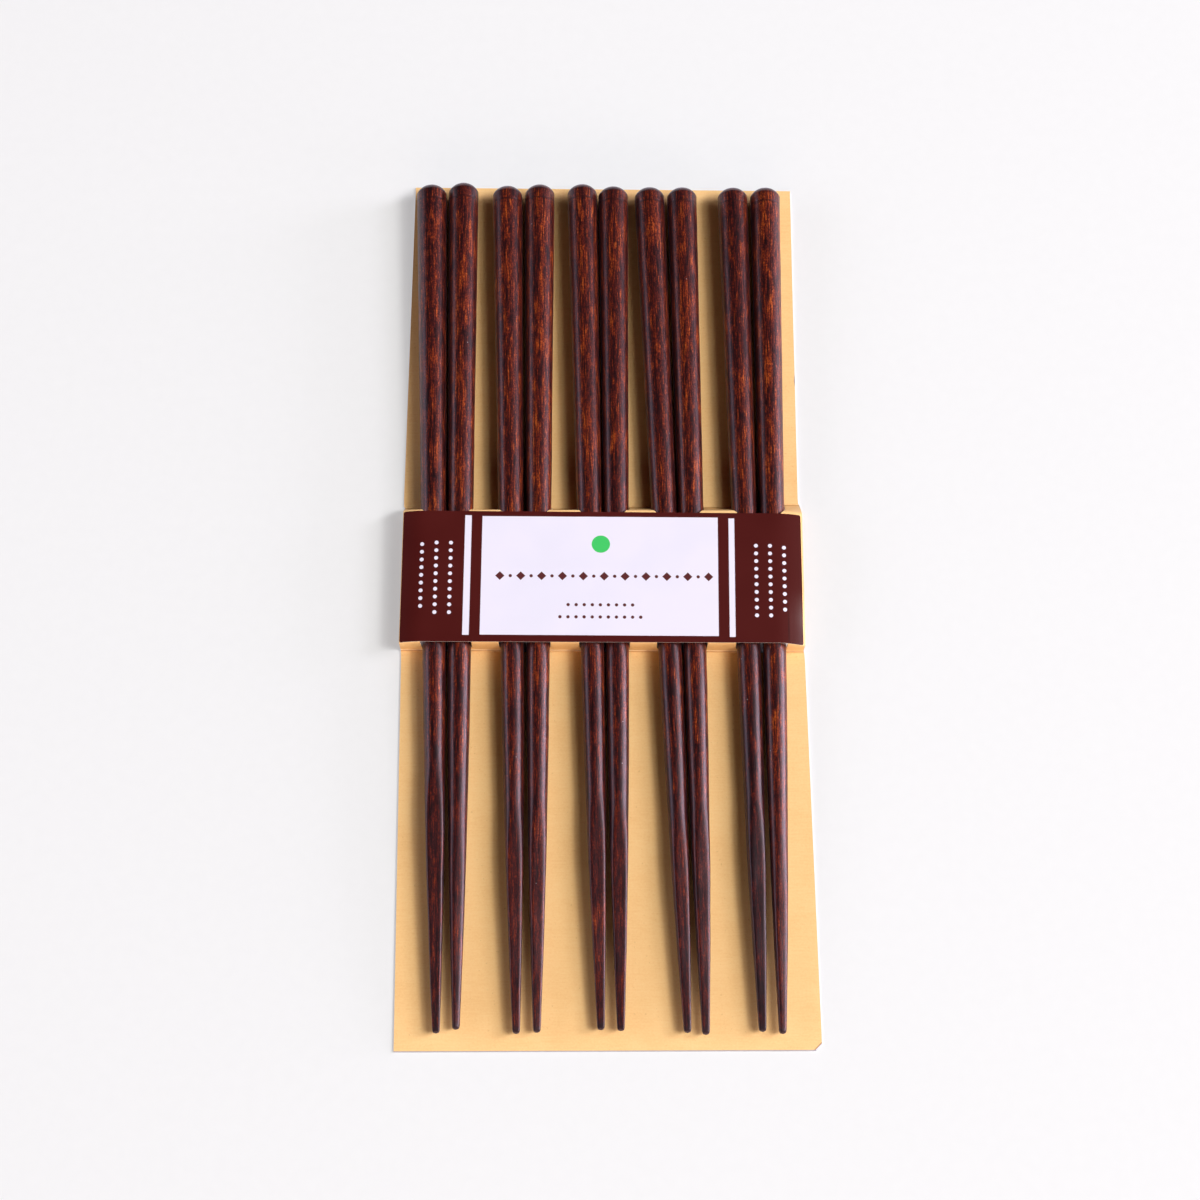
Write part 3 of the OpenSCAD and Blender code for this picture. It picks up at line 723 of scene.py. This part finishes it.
def settle(x, y, z):
    """Droop and twist of the bridge's free ends, and its small turn against the panels."""
    height = min(max((z - CARD_T) / (HEAD_FOLD_Z - CARD_T), 0.0), 1.1)
    left, right = (max((x - start) / over, 0.0) ** power
                   for start, over, power, _ in (DROOP_LEFT, DROOP_RIGHT))
    # The near right corner droops a little more
    corner = max(x - 43.0, 0.0) ** 2 / 10 * smooth((-1.0 - y) / 11.0)
    drop = height * (DROOP_LEFT[3] * left + DROOP_RIGHT[3] * right + 0.2 * corner)
    # The walls bulge where the top droops
    bulge = math.sin(math.pi * min(height, 1.0)) * min(left + 0.3 * right, 1.2) * 0.25
    out = (bulge if y > 0 else -bulge) - 0.25 * right * height
    near = smooth((HEAD_CREASE_Y + 3 - y) / 3) * smooth((y - TIP_CREASE_Y + 3) / 3)
    dx, dy = x - BRIDGE_PIVOT[0], y - BRIDGE_PIVOT[1]
    turn = BRIDGE_TURN * near
    # The wall on the side of the heads stands steeper on the left and leans out at the right end
    foot = sum(move * smooth((x - start) / over) for move, start, over in FOOT_MOVES)
    foot *= max(1.0 - height, 0.0) * near * smooth((y - 8.0) / 6.0)
    return x - dy * turn, y + dx * turn + out + foot, z - drop


def on_sheet(x, run, lift=0.0):
    """Point of the folded sheet for a place on the flat blank, lifted off its middle."""
    y, z, angle = (float(np.interp(run, PATH[:, 0], PATH[:, c])) for c in (1, 2, 3))
    for crease in (HEAD_CREASE, TIP_CREASE):
        off = (run - sum(crease) / 2) / BEAD_W
        lift += BEAD_H * math.exp(-off * off) if abs(off) < 4 else 0.0
    y, z = y + lift * math.sin(angle), z + lift * math.cos(angle)
    return settle(x, y, z)


def arc(centre, radius, start, end, steps=8):
    """Points of an arc, by angles in degrees."""
    turns = [math.radians(start + (end - start) * k / steps) for k in range(steps + 1)]
    return [(centre[0] + radius * math.cos(t), centre[1] + radius * math.sin(t)) for t in turns]


def divided(loop, lines, step):
    """A loop with added points: where it crosses the station lines, and wherever it runs long."""
    dense = []
    for a, b in zip(loop, loop[1:] + loop[:1]):
        length, rise = math.dist(a, b), b[1] - a[1]
        count = max(1, math.ceil(length / step))
        marks = [k / count for k in range(count)]
        if abs(rise) > 0.01:
            marks += [(line - a[1]) / rise for line in lines]
        last = -1
        for share in sorted(m for m in marks if 0 <= m < 1):
            if share == 0 or min(share - last, 1 - share) * length > BORDER_STEP:
                dense.append((a[0] + (b[0] - a[0]) * share, a[1] + rise * share))
                last = share
    return dense


def within(places, loop):
    """Which of the places lie inside a loop."""
    odd = np.zeros(len(places), bool)
    for (x0, y0), (x1, y1) in zip(loop, loop[1:] + loop[:1]):
        if y0 != y1:
            crossed = (y0 > places[:, 1]) != (y1 > places[:, 1])
            odd ^= crossed & (places[:, 0] < x0 + (places[:, 1] - y0) * (x1 - x0) / (y1 - y0))
    return odd


def sheet_mesh(name, loops, rows, place, step):
    """Triangle mesh of a flat outline with holes, bent by place. Rows are the inner points, each
    a place along the sheet and the places across it. Step is the longest stretch of border."""
    lines = [run for run, _ in rows]
    loops = [divided(loop, lines, step) for loop in loops]
    points, edges = [], []
    for loop in loops:
        first = len(points)
        points += loop
        edges += [(first + k, first + (k + 1) % len(loop)) for k in range(len(loop))]
    border = np.array(points)

    def on_stock(places):
        kept = within(places, loops[0])
        for hole in loops[1:]:
            kept &= ~within(places, hole)
        return kept

    inner = np.array([(x, run) for run, across in rows for x in across]).reshape(-1, 2)
    inner = inner[on_stock(inner)]
    clear = [np.hypot(*(border - p).T).min() > BORDER_CLEAR for p in inner]
    points += [tuple(p) for p in inner[clear]]
    verts, _, faces, *_ = delaunay_2d_cdt([Vector(p) for p in points], edges, [], 0, 1e-4)
    flat = np.array([v[:] for v in verts])
    corners = flat[np.array(faces)]
    (ax, ay), (bx, by) = (corners[:, 1] - corners[:, 0]).T, (corners[:, 2] - corners[:, 0]).T
    # Three border points in one line make a face without area, which is left out
    kept = on_stock(corners.mean(1)) & (abs(ax * by - ay * bx) > 1e-3)
    faces = [f for f, keep in zip(faces, kept) if keep]
    mesh = bpy.data.meshes.new(name)
    mesh.from_pydata([Vector(place(*v)) * MM for v in flat], [], faces)
    blank = mesh.attributes.new("blank", "FLOAT_VECTOR", "POINT")
    blank.data.foreach_set("vector", np.column_stack([flat, np.zeros(len(flat))]).ravel())
    return mesh


def face_up(sheet):
    """Drops points without a face and turns the sheet's faces up."""
    loose = [v for v in sheet.verts if not v.link_faces]
    bmesh.ops.delete(sheet, geom=loose, context="VERTS")
    if sum(f.normal.z * f.calc_area() for f in sheet.faces) < 0:
        bmesh.ops.reverse_faces(sheet, faces=sheet.faces)


def thicken(sheet, thickness, sharp):
    """Gives a sheet its thickness, with its rim in its second material, and smooth faces up to
    an angle in degrees."""
    wall = sheet.modifiers.new("thickness", "SOLIDIFY")
    wall.thickness = thickness * MM
    wall.offset = 0.0
    wall.material_offset_rim = 1
    mesh = plain_mesh(sheet)
    mesh.shade_smooth()
    mesh.set_sharp_from_angle(angle=math.radians(sharp))


def spaced(low, high, step):
    """Evenly spaced values from low to high, no further apart than step."""
    return list(np.linspace(low, high, max(2, math.ceil((high - low) / step) + 1)))


def to_run(y):
    """Place on the blank of a point of a flat panel."""
    end = PATH[0] if y > 0 else PATH[-1]
    return end[0] + end[1] - y


def pair_at(pair, y):
    """Middle of a pair and half of its width, where it crosses a line across the card."""
    xs, radii = [], []
    for head, tip in axes[2 * pair:2 * pair + 2]:
        share = (head.y - y) / (head.y - tip.y)
        xs.append(head.x + (tip.x - head.x) * share)
        s = share * (head - tip).length
        radii.append(HEAD_R - (HEAD_R - KNEE_R) / (KNEE_AT - DOME_H) * (s - DOME_H))
    return sum(xs) / 2, (xs[1] - xs[0]) / 2 + sum(radii) / 2


def arch_loop(pair, kerf=0.0):
    """Opening of a pair in the wall on the side of the heads, on the blank. With a kerf, it is
    the tongue that stays under the pair, cut free from its opening."""
    middle, _ = pair_at(pair, HEAD_CREASE_Y)
    foot = pair_at(pair, HEAD_FOLD_Y)[1] + SIDE_GAP
    corner = foot - ARCH_DRAFT - kerf
    root, top, r = HEAD_CREASE[0] - ROOT_PAST, HEAD_FOLD[1] + ARCH_PAST_FOLD - kerf, SHOULDER_R
    feet = [(middle - foot, root), (middle + foot, root)]
    right = arc((middle + corner - r, top - r), r, 0, 90)
    left = arc((middle - corner + r, top - r), r, 90, 180)
    if not kerf:
        return feet + right + left
    rise = root + KERF_FULL
    return feet + [(middle + foot - kerf, rise)] + right + left + [(middle - foot + kerf, rise)]


def slot_loop(pair):
    """Opening of a pair in the wall on the side of the tips, on the blank."""
    middle, half = pair_at(pair, TIP_FOLD_Y)
    top, foot, r = TIP_FOLD[0] - SLOT_PAST_FOLD, half + SIDE_GAP - SLOT_DRAFT, HEEL_R
    wide, root = half + SIDE_GAP, TIP_CREASE[1] + ROOT_PAST
    sill = TIP_CREASE[0] + SILL_PAST
    right = arc((middle + foot - r, sill - r), r, 90, 0)
    left = arc((middle - foot + r, sill - r), r, 180, 90)
    return ([(middle - foot + r, root)] + [(middle + foot - r, root)] + right
            + [(middle + wide, top), (middle - wide, top)] + left)


def make_card(board, core):
    """The die-cut blank, bent into panels, walls and bridge, and given its thickness."""
    near_head, near_tip = HEAD_CREASE[0] - STEP_PAST, TIP_CREASE[1] + STEP_PAST
    blank = [(x, to_run(y)) for x, y in HEAD_PANEL]
    blank[0], blank[-1] = (HEAD_PANEL[0][0], near_head), (HEAD_PANEL[-1][0], near_head)
    bridge_right = [(BRIDGE_X[1], HEAD_CREASE[1]), (BRIDGE_X[1], TIP_CREASE[0])]
    bridge_left = [(BRIDGE_X[0], TIP_CREASE[0]), (BRIDGE_X[0], HEAD_CREASE[1])]
    tips = [(x, to_run(y)) for x, y in TIP_PANEL]
    tips[0], tips[-1] = (TIP_PANEL[0][0], near_tip), (TIP_PANEL[-1][0], near_tip)
    blank = blank[1:] + bridge_right + tips + bridge_left + blank[:1]
    # Panel, crease, wall, fold, top, fold, wall, crease and panel, each with its rows' spacing
    stretches = [(to_run(113.7), HEAD_CREASE[0] - 0.4, PANEL_ROWS),
                 (HEAD_CREASE[0] - 0.3, HEAD_CREASE[1] + 0.3, BEND_ROWS),
                 (HEAD_CREASE[1] + 0.6, HEAD_FOLD[0] - 0.3, WALL_ROWS),
                 (*HEAD_FOLD, BEND_ROWS),
                 (HEAD_FOLD[1] + 0.4, TIP_FOLD[0] - 0.4, TOP_ROWS),
                 (*TIP_FOLD, BEND_ROWS),
                 (TIP_FOLD[1] + 0.4, TIP_CREASE[0] - 0.4, WALL_ROWS),
                 (TIP_CREASE[0] - 0.3, TIP_CREASE[1] + 0.3, BEND_ROWS),
                 (TIP_CREASE[1] + 0.7, to_run(-113.0), PANEL_ROWS)]
    rows = []
    for low, high, step in stretches:
        across = spaced(*(PANEL_COLUMNS if step == PANEL_ROWS else BRIDGE_COLUMNS))
        rows += [(run, across) for run in spaced(low, high, step)]
    loops = [blank] + [cut(pair) for cut in (arch_loop, slot_loop) for pair in range(5)]
    mesh = sheet_mesh("card", loops, rows, on_sheet, step=1.3)
    whole = bmesh.new()
    whole.from_mesh(mesh)
    for pair in range(5):
        flap = sheet_mesh("tongue", [arch_loop(pair, KERF)], [],
                          lambda x, run: settle(x, HEAD_CREASE_Y - run, CARD_T / 2), step=1.5)
        whole.from_mesh(flap)
        bpy.data.meshes.remove(flap)
    bmesh.ops.remove_doubles(whole, verts=whole.verts, dist=0.02 * MM)
    bmesh.ops.recalc_face_normals(whole, faces=whole.faces)
    face_up(whole)
    whole.to_mesh(mesh)
    whole.free()
    card = new_object("folded_card", mesh)
    for material in (board, core):
        mesh.materials.append(material)
    thicken(card, CARD_T, 50)
    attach(card, "root")
    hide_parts("backing_card")
    return card


# Label


def make_label(face, core):
    """Paper label, glued on the bridge, with a short crease by its near right corner."""
    span = Vector((TIP_FOLD_Y - HEAD_FOLD_Y, TIP_FOLD_Z - HEAD_FOLD_Z))
    flat = span.length
    span.normalize()
    upright = Vector((-span.y, span.x)) * -1

    def on_top(x, run):
        crease = math.exp(-((x - LABEL_CREASE_X) / 0.35) ** 2) * smooth((run - 18) / 14)
        wave = abs(noise.noise(Vector((x / 16, run / 12, 3.1)))) * 0.05
        lift = CARD_T / 2 + LABEL_T / 2 + GLUE + 0.05 * crease + wave
        place = Vector((HEAD_FOLD_Y, HEAD_FOLD_Z)) + span * run + upright * lift
        return settle(x, *place)

    (low, low_right), high = LABEL_INSET, flat + LABEL_OVERHANG
    (x0, x1), r = LABEL_X, LABEL_CORNER_R
    outline = (arc((x0 + r, low + r), r, 180, 270, 5)
               + arc((x1 - r, low_right + r), r, 270, 360, 5)
               + arc((x1 - r, high - r), r, 0, 90, 5) + arc((x0 + r, high - r), r, 90, 180, 5))
    across = spaced(x0, 40.0, 1.6)[1:] + spaced(40.5, x1, 0.5)[:-1]
    rows = [(run, across) for run in spaced(low, high, 1.0)[1:-1]]
    mesh = sheet_mesh("label", [outline], rows, on_top, step=0.9)
    paper = bmesh.new()
    paper.from_mesh(mesh)
    face_up(paper)
    paper.to_mesh(mesh)
    paper.free()
    label = new_object("paper_label", mesh)
    for material in (face, core):
        mesh.materials.append(material)
    thicken(label, LABEL_T, 40)
    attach(label, "root")
    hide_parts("label")
    return label


# Stage, lights and camera


def make_stage():
    """A wide plain table top, a hair under the card so that the two faces stay apart."""
    table = bmesh.new()
    bmesh.ops.create_grid(table, x_segments=8, y_segments=8, size=1.6)
    mesh = bpy.data.meshes.new("table")
    table.to_mesh(mesh)
    table.free()
    mesh.transform(Matrix.Translation((0, 0, -0.03 * MM)))
    mesh.materials.append(table_top())
    new_object("table", mesh)


def soft_light(name, azimuth, elevation, spread, radiance, tint):
    """Far area light, set by where it stands, how wide it looks and how bright its face is."""
    light = bpy.data.lights.new(name, "AREA")
    light.shape = "RECTANGLE"
    distance = 5.0
    light.size, light.size_y = (2 * distance * math.tan(math.radians(s) / 2) for s in spread)
    light.energy = radiance * 4 * light.size * light.size_y
    light.color = linear(tint)[:3]
    lamp = bpy.data.objects.new(name, light)
    bpy.context.scene.collection.objects.link(lamp)
    a, e = math.radians(azimuth), math.radians(elevation)
    toward = Vector((math.cos(a) * math.cos(e), math.sin(a) * math.cos(e), math.sin(e)))
    lamp.location = toward * distance
    lamp.rotation_euler = toward.to_track_quat("Z", "Y").to_euler()


def make_light():
    """A key and a tall window on the right, low fill in front and on the left, a pale horizon."""
    soft_light("key", -10, 47, (14, 13), 23.5, "FFFDF9")
    soft_light("key_high", -12, 62, (18, 13), 3.4, "FFFCF4")
    soft_light("front_key", -30, 50, (14, 18), 6.4, "FFFDF9")
    soft_light("front_foot", -30, 8, (14, 13), 13.0, "FFF8FF")
    soft_light("window_top", 8, 33, (14, 13), 17.3, "FCF8FF")
    soft_light("window", 8, 20, (14, 13), 5.6, "FBF2FF")
    soft_light("window_foot", 10, 8, (18, 13), 19.0, "FBF2FF")
    soft_light("front_panel", -90, 15, (60, 20), 2.9, "FFE0C8")
    soft_light("left_panel", 180, 20, (50, 20), 2.7, "F6F0FF")
    world = bpy.data.worlds.new("pale_room")
    bpy.context.scene.world = world
    world.use_nodes = True
    tree = world.node_tree
    tree.nodes.clear()
    height = add(tree, "ShaderNodeSeparateXYZ", [add(tree, "ShaderNodeTexCoord")], out=2)
    level = add(tree, "ShaderNodeMapRange", [height, 0.05, 0.3, 0.95, 0.02])
    shown = add(tree, "ShaderNodeMath", [level, sight(tree)], operation="MULTIPLY")
    backdrop = add(tree, "ShaderNodeBackground", [linear("ECEBFC"), shown])
    tree.links.new(backdrop, tree.nodes.new("ShaderNodeOutputWorld").inputs[0])


def make_camera():
    """The photograph's viewpoint."""
    lens = bpy.data.cameras.new("camera")
    lens.sensor_width = SENSOR
    lens.lens = SENSOR * FOCAL_PX / PHOTO_W
    lens.clip_start, lens.clip_end = 0.01, 20.0
    camera = bpy.data.objects.new("camera", lens)
    bpy.context.scene.collection.objects.link(camera)
    camera.location = Vector(CAMERA_AT) * MM
    camera.rotation_euler = (math.radians(CAMERA_TILT), 0, 0)
    bpy.context.scene.camera = camera


make_camera()
wood = stained_hardwood()
turned = stick_tree(wood)
for number, node in enumerate(STICKS):
    make_stick(number, node, turned)
make_card(kraft_board(), board_core())
make_label(printed_paper(), label_core())
make_stage()
make_light()
bpy.context.scene.view_settings.view_transform = "Standard"
